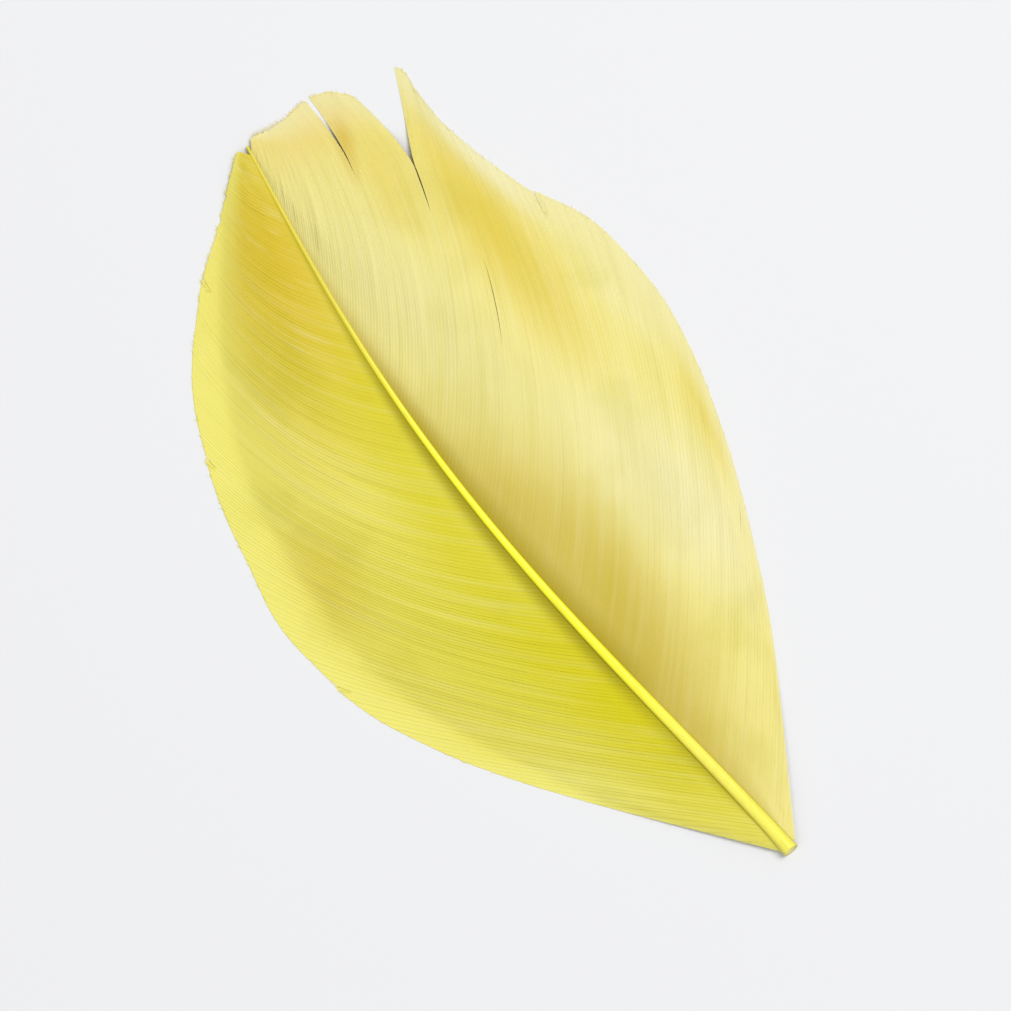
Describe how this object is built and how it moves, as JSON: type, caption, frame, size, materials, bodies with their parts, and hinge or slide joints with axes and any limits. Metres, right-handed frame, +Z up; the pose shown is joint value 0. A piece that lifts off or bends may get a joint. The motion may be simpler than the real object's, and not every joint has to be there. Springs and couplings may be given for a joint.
{
  "type": "trimmed goose feather",
  "caption": "Small trimmed goose feather with a tapered shaft, two closed vanes and a split lobe, lying hollow side down.",
  "frame": {"origin": "under the middle of the feather's box, on the surface it lies on", "axes": "+Y along the shaft from the cut quill to the far end, +X to the wider right vane, +Z up"},
  "size_m": [0.035, 0.062, 0.0037],
  "materials": {
    "feather": "satin yellow-green dyed feather, slightly see-through"
  },
  "bodies": {
    "root": {"feather": "feather"}
  },
  "joints": []
}
